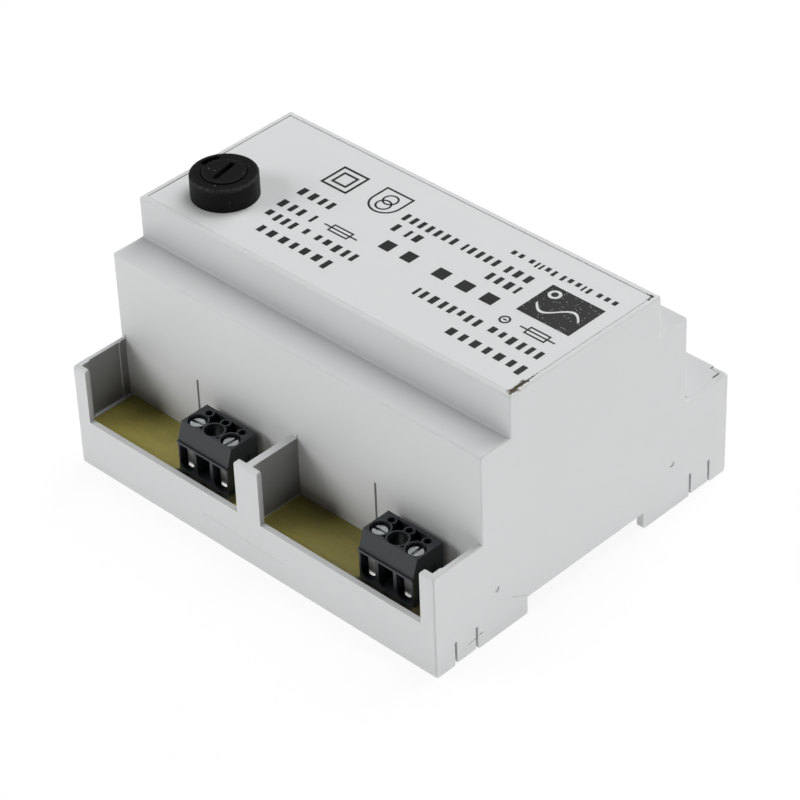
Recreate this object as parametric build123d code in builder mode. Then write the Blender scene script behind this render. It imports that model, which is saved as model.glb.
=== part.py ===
from build123d import *
import math
import os

os.makedirs("parts", exist_ok=True)

# A mains transformer in a six module housing that clips on a 35 mm rail.
# X runs along the rail, Y across it, and Z stands out of the wall.
# The open terminal trough is on the -Y side. All sizes are in millimetres.

# Outside of the housing
module_width = 17.6
module_count = 6
length = module_width * module_count
step_height = 26.1
shoulder_height = 47.9
front_height = 57.8
shoulder_width = 62.0
trough_width = 14.0
width = shoulder_width + 2 * trough_width
front_width = 45.0
front_edge_radius = 1.5
shoulder_edge_radius = 0.8
inner_corner_radius = 1.5
end_edge_radius = 0.45
foot_edge_radius = 0.9

# Walls of the housing
hood_wall = 1.5
end_wall = 1.8
trough_wall = 1.3
trough_end_wall = 1.5
divider_thickness = 1.8
riser_recess = 0.15
lip_height = 14.2
middle_post_width = 6.8
end_post_width = 3.9
post_corner_radius = 0.7

# Guides for a terminal cover in the end walls of the troughs
guide_depth = 0.3
guide_rib_width = 0.5
guide_rib_gap = 1.6
guide_shoulder = 2.3

# Slits, tongues and marks
riser_slit_width = 0.6
riser_slit_places = (-29.1, 23.2)
tongue_slit_width = 0.7
tongue_slit_height = 6.2
tongue_slit_places = (33.1, 39.2)
tongue_slit_mouth_radius = 0.8
tongue_shortening = 0.7
barb_reach = 0.95
barb_height = 1.2
barb_width = 4.2
dimple_radius = 0.7
dimple_depth = 0.25
dimple_place = 27.0
dimple_height = 12.3

# Seat for the rail
rail_slot_width = 36.1
rail_seat = 4.6
foot_corner_radius = 1.0
rail_flange_gap = 1.4
hook_reach = 1.6
hook_wall = 2.2
hook_length = 24.0
hook_spacing = 52.0
hook_bottom = 0.8
seat_relief_margin = 0.25
seat_relief_depth = 0.3

# Gaps between pieces
slip_gap = 0.15
easy_gap = 0.3
overshoot = 1.0

# Front plate, let into the front of the housing
plate_end_rim = 1.2
plate_side_rim = 1.35
plate_recess = 1.1
plate_thickness = 1.0

# Base that closes the housing
base_thickness = 1.8
rib_thickness = 1.0
stop_rib_width = 1.2
board_rib_inset = 1.2

# Terminal board
board_thickness = 1.6
board_top = 11.3
board_inner_margin = 2.2
pin_hole_radius = 0.65

# Sliding rail latches
latch_spacing = 52.0
latch_half_width = 5.0
latch_flange_half_width = 7.0
latch_bottom = 0.9
latch_flange_thickness = 1.45
latch_travel = 3.0
latch_tip = 16.6
latch_lip_height = 2.3
guide_lip_height = 1.3
guide_lip_reach = 1.7
guide_wall = 1.4
guide_start = 20.0
guide_end = 40.0
stop_nib_radius = 0.9
stop_nib_height = 1.1
stop_nib_place = 31.0
tool_slot_length = 5.5
tool_slot_width = 1.6
tool_slot_inset = 2.3

# Terminal covers that close the far trough
cover_thickness = 1.3
cover_edge_radius = 0.4
cover_leg_width = 5.0
cover_leg_depth = 2.2

# Transformer core of the 60 mm lamination size, stacked along Z
core_centre_x = 12.0
core_centre_z = 30.0
core_length = 60.0
core_leg = 20.0
core_stack = 25.0
core_side_leg = core_leg / 2
core_window = 30.0
core_width = core_window + 2 * core_side_leg
core_hole_radius = 1.8
core_screw_radius = 1.7
core_screw_head_radius = 3.2
core_screw_head_height = 2.2
core_screw_bite = 9.0
core_boss_radius = 3.8

# Coil former and windings
former_wall = 1.2
former_flange = 1.2
former_height = 44.0
primary_build = 3.6
barrier_build = 0.6
secondary_build = 2.8
coil_corner_radius = 2.0
lead_slot_height = 2.2

# Insulated leads
lead_radius = 0.7
lead_rise = 6.6
lead_bend_radius = 1.5
lead_landing_inset = 2.9
primary_lead_offsets = (-15.0, -11.0)
secondary_lead_offsets = (11.0, 15.0)

# Fuse holder
fuse_x = -40.0
fuse_y = -9.5
collar_radius = 7.45
collar_height = 5.4
collar_edge_radius = 0.4
barrel_radius = 6.2
barrel_bottom = 24.0
barrel_floor = 2.0
carrier_bore_radius = 5.0
carrier_radius = 4.75
carrier_rise = 0.3
carrier_head_height = 6.5
carrier_slot_length = 6.8
carrier_slot_width = 1.3
carrier_slot_depth = 1.3
carrier_slot_angle = 11.0
carrier_grip_depth = 3.0
carrier_grip_wall = 0.8
index_notch_radius = 5.7
index_notch_width = 1.4
index_notch_start = 151.0
index_notch_sweep = 32.0
index_notch_depth = 1.2
nut_across_flats = 16.0
nut_height = 4.0

# Glass fuse of the 5 by 20 mm size
fuse_length = 20.0
fuse_cap_radius = 2.6
fuse_cap_length = 5.2
fuse_cap_wall = 0.25
fuse_glass_radius = 2.3
fuse_glass_wall = 0.6
fuse_wire_radius = 0.15

# Fuse contacts
contact_strip_thickness = 0.4
contact_strip_width = 3.0
contact_strip_inset = 0.45
contact_tag_bottom = 17.0
end_contact_radius = 2.4
end_contact_thickness = 0.8
end_contact_stem_radius = 1.2
fuse_lead_height = 19.5

# Terminal blocks with three places, of which the outer two are fitted
pole_pitch = 5.0
pole_count = 3
block_length = pole_pitch * pole_count
block_places = (-17.05, 36.05)
block_height = 11.6
block_setback = 1.75
block_depth = 8.9
block_top_inset = 1.5
ledge_height = 7.0
ledge_reach = 0.35
ledge_thickness = 0.4
screw_inset = 3.8
probe_inset = 7.1
screw_hole_radius = 2.15
probe_hole_radius = 0.85
ring_wall = 0.4
top_wall = 0.7
top_pocket_depth = 2.7
cell_half_width = 2.05
cell_floor = 0.25
cell_ceiling = 6.45
cell_wall = 0.6
cell_inset = 7.2
cavity_height = 7.85
side_slot_inset = 5.9
side_slot_width = 1.1
side_slot_depth = 0.3
side_slot_height = 7.6

# Clamp parts in each fitted pole
clamp_half_width = 1.95
clamp_inset = 2.1
clamp_depth = 5.0
clamp_bottom = 1.5
clamp_floor = 0.6
clamp_side = 0.5
clamp_top = 7.8
clamp_nut = 1.5
clamp_hole_radius = 1.5
pin_radius = 0.55
pin_length = 3.1
pin_inset = 4.6
screw_radius = 1.45
screw_head_radius = 1.85
screw_head_height = 1.3
screw_head_sink = 0.6
screw_slot_width = 0.7
screw_slot_depth = 0.75
screw_slot_angles = (6.0, 86.0, 3.0, 93.0)
guard_half_width = 1.3
guard_thickness = 0.3
guard_inset = 1.55
guard_curl_inset = 0.95
guard_back_inset = 5.5
guard_bend_radius = 0.4
guard_tip = 1.0

# Places that follow from the sizes above
half_length = length / 2
half_width = width / 2
shoulder_half = shoulder_width / 2
front_half = front_width / 2
trough_inside = half_width - trough_wall
riser_face = shoulder_half - riser_recess
riser_back = shoulder_half - hood_wall
end_inside = half_length - end_wall
trough_end_inside = half_length - trough_end_wall
plate_seat = front_height - plate_recess
plate_top = plate_seat + plate_thickness
ceiling = plate_seat - hood_wall
base_top = rail_seat + base_thickness
board_bottom = board_top - board_thickness
core_bottom = core_centre_z - core_stack / 2
core_top = core_centre_z + core_stack / 2
bolt_half_x = (core_length - core_side_leg) / 2
bolt_half_y = (core_width - core_side_leg) / 2
collar_top = plate_top + collar_height
lead_landing = riser_back - lead_landing_inset
board_inner_edge = lead_landing - board_inner_margin
lead_height = core_centre_z - former_height / 2 + lead_rise
block_back = riser_face + block_setback
block_front = block_back + block_depth
block_top_front = block_front - block_top_inset
screw_line = block_front - screw_inset
probe_line = block_front - probe_inset
cell_back = block_front - cell_inset
side_slot_place = block_front - side_slot_inset
clamp_front = block_front - clamp_inset
clamp_back = clamp_front - clamp_depth
pin_line = block_front - pin_inset
guard_line = block_front - guard_inset
guard_curl = block_front - guard_curl_inset
guard_back = block_front - guard_back_inset


def finish(piece, name):
    """Label a finished piece and write it as its own file."""
    piece.label = name
    export_step(piece, f"parts/{name}.step")


def open_notch(left, right, floor, mouth, radius, direction):
    """Sketch a notch whose mouth is rounded outwards at both edges.

    The notch runs from floor to mouth, direction is +1 when it opens upwards and -1 downwards.
    """
    bend = mouth - direction * radius
    outside = mouth + direction * overshoot
    turn = 90 * direction
    with BuildSketch() as notch:
        with BuildLine():
            Polyline((left, bend), (left, floor), (right, floor), (right, bend))
            CenterArc((right + radius, bend), radius, 180, -turn)
            Polyline((right + radius, mouth), (right + radius, outside),
                     (left - radius, outside), (left - radius, mouth))
            CenterArc((left - radius, bend), radius, 0, turn)
        make_face()
    return notch.sketch


# Housing: one moulding with a stepped section, two troughs and an open back.
with BuildPart() as housing:
    with BuildSketch(Plane.YZ):
        with BuildLine():
            FilletPolyline(
                (0, 0), (-half_width, 0), (-half_width, step_height),
                (-shoulder_half, step_height), (-shoulder_half, shoulder_height),
                (-front_half, shoulder_height), (-front_half, front_height), (0, front_height),
                radius=[foot_edge_radius, shoulder_edge_radius, 0, shoulder_edge_radius,
                        inner_corner_radius, front_edge_radius])
            Line((0, front_height), (0, 0))
        make_face()
        mirror(about=Plane.YZ)
    extrude(amount=half_length, both=True)
    end_faces = faces().filter_by(Axis.X)
    fillet(end_faces.edges().filter_by_position(Axis.Z, 0.1, front_height), end_edge_radius)

    # Space for the transformer, open towards the wall
    with BuildSketch(Plane.YZ):
        with BuildLine():
            Polyline((0, -overshoot), (-trough_inside, -overshoot), (-trough_inside, board_top),
                     (-riser_back, board_top), (-riser_back, shoulder_height - hood_wall),
                     (hood_wall - front_half, shoulder_height - hood_wall),
                     (hood_wall - front_half, ceiling), (0, ceiling), close=True)
        make_face()
        mirror(about=Plane.YZ)
    extrude(amount=end_inside, both=True, mode=Mode.SUBTRACT)

    for side in (-1, 1):
        # Trough on both sides of the divider
        bay_start = divider_thickness / 2
        for end in (-1, 1):
            with BuildSketch(Plane.XY.offset(board_top)):
                with Locations((end * (bay_start + trough_end_inside) / 2,
                                side * (riser_face + trough_inside) / 2)):
                    Rectangle(trough_end_inside - bay_start, trough_inside - riser_face)
                # Cover guides in the end wall, either side of a thin rib
                rib_line = riser_face + guide_rib_gap
                spans = ((riser_face, rib_line),
                         (rib_line + guide_rib_width, trough_inside - guide_shoulder))
                for start, stop in spans:
                    with Locations((end * trough_end_inside, side * (start + stop) / 2)):
                        Rectangle(2 * guide_depth, stop - start)
            extrude(amount=step_height - board_top + overshoot, mode=Mode.SUBTRACT)
            # The wall between two posts is cut down to a low lip
            low, high = middle_post_width / 2, half_length - end_post_width
            window = open_notch(min(end * low, end * high), max(end * low, end * high),
                                lip_height, step_height, post_corner_radius, 1)
            with BuildSketch(Plane.XZ.offset(-side * (half_width + overshoot))):
                add(window)
            extrude(amount=side * (trough_wall + overshoot + slip_gap), mode=Mode.SUBTRACT)

    # Slits in the near riser, from the board up to the rim
    with BuildSketch(Plane.XZ.offset(riser_back - overshoot)):
        for place in riser_slit_places:
            with Locations((place, (board_top + step_height) / 2)):
                Rectangle(riser_slit_width, step_height - board_top)
    extrude(amount=hood_wall + 2 * overshoot, mode=Mode.SUBTRACT)

    # Rail slot and spring tongues in the end walls
    rail_slot = open_notch(-rail_slot_width / 2, rail_slot_width / 2, rail_seat, 0,
                           foot_corner_radius, -1)
    half_slit = tongue_slit_width / 2
    tongue_slits = [open_notch(side * place - half_slit, side * place + half_slit, tongue_slit_height, 0,
                               tongue_slit_mouth_radius, -1)
                    for side in (-1, 1) for place in tongue_slit_places]
    with BuildSketch(Plane.YZ):
        add(rail_slot)
        add(tongue_slits)
        for side in (-1, 1):
            with Locations((side * sum(tongue_slit_places) / 2, 0)):
                Rectangle(tongue_slit_places[1] - tongue_slit_places[0], 2 * tongue_shortening)
    extrude(amount=half_length + overshoot, both=True, mode=Mode.SUBTRACT)

    # Barbs on the tongues hold the base, and stop ribs keep it from going too deep
    for side in (-1, 1):
        with BuildSketch(Plane.XZ.offset(-side * sum(tongue_slit_places) / 2)):
            for end in (-1, 1):
                with BuildLine():
                    Polyline((end * end_inside, rail_seat),
                             (end * (end_inside - barb_reach), rail_seat),
                             (end * end_inside, rail_seat - barb_height), close=True)
                make_face()
        extrude(amount=barb_width / 2, both=True)
        with BuildSketch(Plane.XY.offset(base_top)):
            with Locations((-half_length / 2, side * (trough_inside - rib_thickness / 2)),
                           (half_length / 2, side * (trough_inside - rib_thickness / 2))):
                Rectangle(stop_rib_width, rib_thickness)
        extrude(amount=board_bottom - base_top)

    # Recess for the front plate, and the hole of the fuse holder
    with BuildSketch(Plane.XY.offset(plate_seat)):
        Rectangle(length - 2 * plate_end_rim, front_width - 2 * plate_side_rim)
    extrude(amount=plate_recess + overshoot, mode=Mode.SUBTRACT)
    with BuildSketch(Plane.XY.offset(ceiling - overshoot)):
        with Locations((fuse_x, fuse_y)):
            Circle(barrel_radius + slip_gap)
    extrude(amount=hood_wall + 2 * overshoot, mode=Mode.SUBTRACT)

    # Notches in the far wall for the ends of the latches
    with BuildSketch(Plane.XZ.offset(-half_width - overshoot)):
        with GridLocations(latch_spacing, 0, 2, 1):
            Rectangle(2 * (latch_flange_half_width + easy_gap), 2 * (rail_seat + slip_gap))
    extrude(amount=trough_wall + 2 * overshoot, mode=Mode.SUBTRACT)

    # Ejector marks on the end faces
    for end in (-1, 1):
        with BuildSketch(Plane.YZ.offset(end * half_length)):
            with Locations((-dimple_place, dimple_height), (dimple_place, dimple_height)):
                Circle(dimple_radius)
        extrude(amount=-end * dimple_depth, mode=Mode.SUBTRACT)
finish(housing.part, "housing_shell")

# Front plate: a flat moulded plate with a round hole for the fuse holder.
with BuildPart() as plate:
    with BuildSketch(Plane.XY.offset(plate_seat)):
        Rectangle(length - 2 * (plate_end_rim + slip_gap), front_width - 2 * (plate_side_rim + slip_gap))
        with Locations((fuse_x, fuse_y)):
            Circle(barrel_radius + slip_gap, mode=Mode.SUBTRACT)
    extrude(amount=plate_thickness)
finish(plate.part, "front_plate")

# Covers of the far trough: a top plate, a front plate and two snap legs in one moulding.
for end, name in ((-1, "left_terminal_cover"), (1, "right_terminal_cover")):
    cover_top = step_height
    inner_end = divider_thickness / 2 + slip_gap
    outer_end = trough_end_inside - slip_gap
    front_start = middle_post_width / 2 + slip_gap
    front_end = half_length - end_post_width - slip_gap
    with BuildPart() as cover:
        with BuildSketch(Plane.XY.offset(cover_top - cover_thickness)):
            with Locations((end * (inner_end + outer_end) / 2,
                            (riser_face + easy_gap + trough_inside - slip_gap) / 2)):
                Rectangle(outer_end - inner_end, trough_inside - slip_gap - riser_face - easy_gap)
            with Locations((end * (front_start + front_end) / 2, half_width - trough_wall)):
                Rectangle(front_end - front_start, 2 * trough_wall)
        extrude(amount=cover_thickness)
        with BuildSketch(Plane.XY.offset(lip_height)):
            with Locations((end * (front_start + front_end) / 2, half_width - trough_wall / 2)):
                Rectangle(front_end - front_start, trough_wall)
        extrude(amount=cover_top - cover_thickness - lip_height)
        outer_edge = edges().filter_by(Axis.X).filter_by_position(Axis.Y, half_width - 0.01, half_width + 0.01)
        fillet(outer_edge.sort_by(Axis.Z)[-1], cover_edge_radius)
        with BuildSketch(Plane.XY.offset(lip_height - cover_leg_depth)):
            leg_line = trough_inside - easy_gap - cover_thickness / 2
            with Locations((end * (front_start + cover_leg_width), leg_line),
                           (end * (front_end - cover_leg_width), leg_line)):
                Rectangle(cover_leg_width, cover_thickness)
        extrude(amount=cover_top - cover_thickness - lip_height + cover_leg_depth)
    finish(cover.part, name)

# Base: plate with ribs for the board, bosses for the core, rail hooks and latch guides.
with BuildPart() as base:
    with BuildSketch(Plane.XY.offset(rail_seat)):
        Rectangle(2 * (end_inside - slip_gap), 2 * (trough_inside - slip_gap))
    extrude(amount=base_thickness)
    # Grooves either side of the rail seat, so that no hook or latch stands over the seat itself
    relief_width = hook_reach + seat_relief_margin
    with BuildSketch(Plane.XY.offset(rail_seat)):
        with GridLocations(0, rail_slot_width - relief_width, 1, 2):
            Rectangle(length, relief_width)
    extrude(amount=seat_relief_depth, mode=Mode.SUBTRACT)
    # Ribs that carry the terminal board
    board_length = 2 * (end_inside - slip_gap)
    with BuildSketch(Plane.XY.offset(base_top)):
        with Locations((0, -(trough_inside - board_rib_inset - rib_thickness / 2)),
                       (0, -(lead_landing + rib_thickness + lead_radius))):
            Rectangle(board_length - 2 * easy_gap, rib_thickness)
    extrude(amount=board_bottom - base_top)
    # Bosses under the four corners of the core
    with BuildSketch(Plane.XY.offset(base_top)):
        with Locations((core_centre_x, 0)):
            with GridLocations(2 * bolt_half_x, 2 * bolt_half_y, 2, 2):
                Circle(core_boss_radius)
    extrude(amount=core_bottom - base_top)
    with BuildSketch(Plane.XY.offset(core_bottom - core_screw_bite)):
        with Locations((core_centre_x, 0)):
            with GridLocations(2 * bolt_half_x, 2 * bolt_half_y, 2, 2):
                Circle(core_screw_radius)
    extrude(amount=core_screw_bite + overshoot, mode=Mode.SUBTRACT)
    # Fixed hooks that go behind the near flange of the rail
    rail_edge = rail_slot_width / 2
    hook_lip = rail_seat - rail_flange_gap
    with GridLocations(hook_spacing, 0, 2, 1) as hooks:
        hook_planes = [Plane.YZ.offset(place.position.X) for place in hooks.locations]
    for hook_plane in hook_planes:
        with BuildSketch(hook_plane):
            with BuildLine():
                Polyline((-rail_edge, rail_seat), (-rail_edge, hook_lip),
                         (hook_reach - rail_edge, hook_lip - 0.3), (hook_reach - rail_edge, hook_lip - 1.4),
                         (-rail_edge, hook_bottom), (-rail_edge - hook_wall, hook_bottom),
                         (-rail_edge - hook_wall, rail_seat), close=True)
            make_face()
        extrude(amount=hook_length / 2, both=True)
    # Guides for the latches, with a lip under each flange and a nib that stops the travel
    lip_top = rail_seat - slip_gap - latch_flange_thickness - slip_gap
    guide_inside = latch_flange_half_width + slip_gap
    for end in (-1, 1):
        latch_x = end * latch_spacing / 2
        for hand in (-1, 1):
            with BuildSketch(Plane.XZ.offset(-guide_end)):
                with BuildLine():
                    Polyline((latch_x + hand * guide_inside, rail_seat),
                             (latch_x + hand * guide_inside, lip_top),
                             (latch_x + hand * (guide_inside - guide_lip_reach), lip_top),
                             (latch_x + hand * (guide_inside - guide_lip_reach), lip_top - guide_lip_height),
                             (latch_x + hand * (guide_inside + guide_wall), lip_top - guide_lip_height),
                             (latch_x + hand * (guide_inside + guide_wall), rail_seat), close=True)
                make_face()
            extrude(amount=guide_end - guide_start)
        with BuildSketch(Plane.XY.offset(rail_seat - stop_nib_height)):
            with Locations((latch_x, stop_nib_place)):
                Circle(stop_nib_radius)
        extrude(amount=stop_nib_height)
finish(base.part, "base_plate")

# Rail latches: sliders with a hooked tip, side flanges and a slot for a screwdriver.
for end, name in ((-1, "left_rail_latch"), (1, "right_rail_latch")):
    latch_x = end * latch_spacing / 2
    latch_top = rail_seat - slip_gap
    latch_root = latch_tip + hook_reach + slip_gap
    latch_end = half_width - slip_gap
    with BuildPart() as latch:
        with BuildSketch(Plane.YZ.offset(latch_x)):
            with BuildLine():
                Polyline((latch_tip, latch_lip_height), (latch_tip, latch_lip_height + 0.6),
                         (latch_root, rail_seat - rail_flange_gap), (latch_root, latch_top),
                         (latch_end, latch_top), (latch_end, latch_bottom),
                         (latch_root, latch_bottom), close=True)
            make_face()
        extrude(amount=latch_half_width, both=True)
        with BuildSketch(Plane.XY.offset(latch_top - latch_flange_thickness)):
            with Locations((latch_x, (guide_start + guide_end) / 2)):
                Rectangle(2 * latch_flange_half_width, guide_end - guide_start)
        extrude(amount=latch_flange_thickness)
        with BuildSketch(Plane.XY.offset(latch_top - stop_nib_height - slip_gap)):
            with Locations((latch_x, stop_nib_place - latch_travel / 2)):
                SlotOverall(latch_travel + 2 * (stop_nib_radius + easy_gap),
                            2 * (stop_nib_radius + easy_gap), rotation=90)
        extrude(amount=stop_nib_height + overshoot, mode=Mode.SUBTRACT)
        with BuildSketch(Plane.XY):
            with Locations((latch_x, latch_end - tool_slot_inset)):
                RectangleRounded(tool_slot_length, tool_slot_width, tool_slot_width / 3)
        extrude(amount=rail_seat, mode=Mode.SUBTRACT)
        latch_end_edges = edges().filter_by(Axis.Z).filter_by_position(Axis.Y, latch_end - 0.01, latch_end + 0.01)
        fillet(latch_end_edges, 0.6)
    finish(latch.part, name)

# Terminal board: a laminate strip with a hole for each terminal pin.
with BuildPart() as board:
    with BuildSketch(Plane.XY.offset(board_bottom)):
        board_outer_edge = trough_inside - slip_gap
        with Locations((0, -(board_outer_edge + board_inner_edge) / 2)):
            Rectangle(2 * (end_inside - slip_gap), board_outer_edge - board_inner_edge)
        for block_x in block_places:
            with Locations((block_x - pole_pitch, -pin_line), (block_x + pole_pitch, -pin_line)):
                Circle(pin_hole_radius, mode=Mode.SUBTRACT)
    extrude(amount=board_thickness)
finish(board.part, "terminal_board")

# Core: a stack of E laminations closed by a stack of I laminations.
with BuildPart() as core_e:
    with BuildSketch(Plane.XY.offset(core_bottom)):
        with Locations((core_centre_x, -core_side_leg / 2)):
            Rectangle(core_length, core_width - core_side_leg)
        for hand in (-1, 1):
            with Locations((core_centre_x + hand * (core_leg + core_side_leg) / 2, 0)):
                Rectangle(core_side_leg, core_window, mode=Mode.SUBTRACT)
        with Locations((core_centre_x, -bolt_half_y)):
            with GridLocations(2 * bolt_half_x, 0, 2, 1):
                Circle(core_hole_radius, mode=Mode.SUBTRACT)
    extrude(amount=core_stack)
finish(core_e.part, "core_e_stack")

with BuildPart() as core_i:
    with BuildSketch(Plane.XY.offset(core_bottom)):
        with Locations((core_centre_x, bolt_half_y)):
            Rectangle(core_length, core_side_leg)
            with GridLocations(2 * bolt_half_x, 0, 2, 1):
                Circle(core_hole_radius, mode=Mode.SUBTRACT)
    extrude(amount=core_stack)
finish(core_i.part, "core_i_stack")

# Core screws: pan head screws through the corner holes into the bosses of the base.
with BuildPart() as core_screws:
    with BuildSketch(Plane.XY.offset(core_bottom - core_screw_bite + easy_gap)):
        with Locations((core_centre_x, 0)):
            with GridLocations(2 * bolt_half_x, 2 * bolt_half_y, 2, 2):
                Circle(core_screw_radius - slip_gap / 3)
    extrude(amount=core_screw_bite - easy_gap + core_stack)
    with BuildSketch(Plane.XY.offset(core_top)):
        with Locations((core_centre_x, 0)):
            with GridLocations(2 * bolt_half_x, 2 * bolt_half_y, 2, 2):
                Circle(core_screw_head_radius)
    extrude(amount=core_screw_head_height)
    head_tops = edges().filter_by(GeomType.CIRCLE).group_by(Axis.Z)[-1]
    fillet(head_tops, core_screw_head_height / 3)
    with BuildSketch(Plane.XY.offset(core_top + core_screw_head_height)):
        with Locations((core_centre_x, 0)):
            with GridLocations(2 * bolt_half_x, 2 * bolt_half_y, 2, 2):
                Rectangle(2 * core_screw_head_radius, core_screw_head_radius / 3)
                Rectangle(core_screw_head_radius / 3, 2 * core_screw_head_radius)
    extrude(amount=-core_screw_head_height / 2, mode=Mode.SUBTRACT)
finish(core_screws.part, "core_screws")

# Coil former: a square tube with two flanges, pushed on the middle leg of the core.
former_half_x = core_leg / 2 + slip_gap + former_wall
former_half_z = core_stack / 2 + slip_gap + former_wall
former_length = core_window - 2 * slip_gap
flange_half_x = core_leg / 2 + core_side_leg - slip_gap
winding_half_length = former_length / 2 - former_flange
lead_offsets = primary_lead_offsets + secondary_lead_offsets
coil_plane = Plane.XZ
with BuildPart() as former:
    with BuildSketch(coil_plane):
        with Locations((core_centre_x, core_centre_z)):
            Rectangle(2 * former_half_x, 2 * former_half_z)
    extrude(amount=former_length / 2, both=True)
    for hand in (-1, 1):
        with BuildSketch(coil_plane.offset(hand * former_length / 2)):
            with Locations((core_centre_x, core_centre_z)):
                RectangleRounded(2 * flange_half_x, former_height, coil_corner_radius)
        extrude(amount=-hand * former_flange)
    with BuildSketch(coil_plane):
        with Locations((core_centre_x, core_centre_z)):
            Rectangle(core_leg + 2 * slip_gap, core_stack + 2 * slip_gap)
    extrude(amount=core_window, both=True, mode=Mode.SUBTRACT)
    with BuildSketch(coil_plane.offset(former_length / 2)):
        for offset_x in lead_offsets:
            with Locations((core_centre_x + offset_x, lead_height)):
                Circle(lead_radius + slip_gap)
    extrude(amount=-former_flange, mode=Mode.SUBTRACT)
finish(former.part, "coil_former")


def coil_ring(inner_build, build):
    """Make one closed layer of the coil, wound around the former from inner_build outwards."""
    inner_x = former_half_x + inner_build
    inner_z = former_half_z + inner_build
    with BuildPart() as ring:
        with BuildSketch(Plane.XZ):
            with Locations((core_centre_x, core_centre_z)):
                RectangleRounded(2 * (inner_x + build), 2 * (inner_z + build),
                                 inner_build + build + 0.2)
                if inner_build > 0:
                    RectangleRounded(2 * inner_x, 2 * inner_z, inner_build + 0.2, mode=Mode.SUBTRACT)
                else:
                    Rectangle(2 * inner_x, 2 * inner_z, mode=Mode.SUBTRACT)
        extrude(amount=winding_half_length, both=True)
    return ring.part


# Windings: primary inside, an insulating barrier, and the secondary outside.
finish(coil_ring(0, primary_build), "primary_winding")
finish(coil_ring(primary_build, barrier_build), "winding_barrier")
finish(coil_ring(primary_build + barrier_build, secondary_build), "secondary_winding")


def lead(points, radii, radius):
    """Make one insulated lead as a round tube that follows straight runs and tangent arcs."""
    with BuildPart() as wire:
        with BuildLine() as route:
            FilletPolyline(*points, radius=radii)
        with BuildSketch(Plane(route.line @ 0, z_dir=route.line % 0)):
            Circle(radius)
        sweep()
    return wire.part


# Leads: each runs from its winding under the core and down on to the board.
winding_end = -winding_half_length
for name, offsets in (("primary_leads", primary_lead_offsets), ("secondary_leads", secondary_lead_offsets)):
    with BuildPart() as leads:
        for offset_x in offsets:
            lead_x = core_centre_x + offset_x
            add(lead([(lead_x, winding_end, lead_height), (lead_x, -lead_landing, lead_height),
                      (lead_x, -lead_landing, board_top)], lead_bend_radius, lead_radius))
    finish(leads.part, name)

# Fuse holder body: collar on the front plate, and a barrel below it.
strip_x = fuse_x - carrier_bore_radius + contact_strip_inset + contact_strip_thickness / 2
with BuildPart() as fuse_body:
    with BuildSketch(Plane.XY.offset(plate_top)):
        with Locations((fuse_x, fuse_y)):
            Circle(collar_radius)
    extrude(amount=collar_height)
    fillet(edges().filter_by(GeomType.CIRCLE).group_by(Axis.Z)[-1], collar_edge_radius)
    with BuildSketch(Plane.XY.offset(barrel_bottom)):
        with Locations((fuse_x, fuse_y)):
            Circle(barrel_radius)
    extrude(amount=plate_top - barrel_bottom)
    with BuildSketch(Plane.XY.offset(barrel_bottom + barrel_floor)):
        with Locations((fuse_x, fuse_y)):
            Circle(carrier_bore_radius)
    extrude(amount=collar_top - barrel_bottom, mode=Mode.SUBTRACT)
    # Arc shaped index notch beside the carrier
    with BuildSketch(Plane.XY.offset(collar_top)):
        with Locations((fuse_x, fuse_y)):
            SlotArc(CenterArc((0, 0), index_notch_radius, index_notch_start, index_notch_sweep),
                    index_notch_width)
    extrude(amount=-index_notch_depth, mode=Mode.SUBTRACT)
    # Openings in the floor for the two contact tags
    with BuildSketch(Plane.XY.offset(barrel_bottom)):
        with Locations((fuse_x, fuse_y)):
            Rectangle(contact_strip_thickness + 2 * slip_gap, contact_strip_width + 2 * slip_gap)
        with Locations((strip_x, fuse_y)):
            Rectangle(contact_strip_thickness + 2 * slip_gap, contact_strip_width + 2 * slip_gap)
    extrude(amount=barrel_floor, mode=Mode.SUBTRACT)
finish(fuse_body.part, "fuse_holder_body")

# Fuse holder nut, tightened against the inside of the housing front.
with BuildPart() as fuse_nut:
    with BuildSketch(Plane.XY.offset(ceiling - nut_height)):
        with Locations((fuse_x, fuse_y)):
            RegularPolygon(nut_across_flats / 2, 6, major_radius=False)
            Circle(barrel_radius + slip_gap / 3, mode=Mode.SUBTRACT)
    extrude(amount=nut_height)
finish(fuse_nut.part, "fuse_holder_nut")

# Fuse carrier: slotted head with a sleeve that grips the upper cap of the fuse.
carrier_top = collar_top + carrier_rise
carrier_shelf = carrier_top - carrier_head_height
sleeve_radius = fuse_cap_radius + slip_gap / 3 + carrier_grip_wall
with BuildPart() as carrier:
    with BuildSketch(Plane.XY.offset(carrier_shelf)):
        with Locations((fuse_x, fuse_y)):
            Circle(carrier_radius)
    extrude(amount=carrier_head_height)
    with BuildSketch(Plane.XY.offset(carrier_top)):
        with Locations((fuse_x, fuse_y)):
            Rectangle(carrier_slot_width, carrier_slot_length, rotation=carrier_slot_angle)
    extrude(amount=-carrier_slot_depth, mode=Mode.SUBTRACT)
    with BuildSketch(Plane.XY.offset(carrier_shelf - carrier_grip_depth)):
        with Locations((fuse_x, fuse_y)):
            Circle(sleeve_radius)
            Circle(fuse_cap_radius + slip_gap / 3, mode=Mode.SUBTRACT)
    extrude(amount=carrier_grip_depth)
finish(carrier.part, "fuse_carrier")

# Glass fuse: a glass tube, a metal cap on each end and a thin wire between them.
fuse_top = carrier_shelf
fuse_bottom = fuse_top - fuse_length
with BuildPart() as fuse_tube:
    with BuildSketch(Plane.XY.offset(fuse_bottom + fuse_cap_wall)):
        with Locations((fuse_x, fuse_y)):
            Circle(fuse_glass_radius)
            Circle(fuse_glass_radius - fuse_glass_wall, mode=Mode.SUBTRACT)
    extrude(amount=fuse_length - 2 * fuse_cap_wall)
finish(fuse_tube.part, "fuse_glass_tube")

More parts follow.
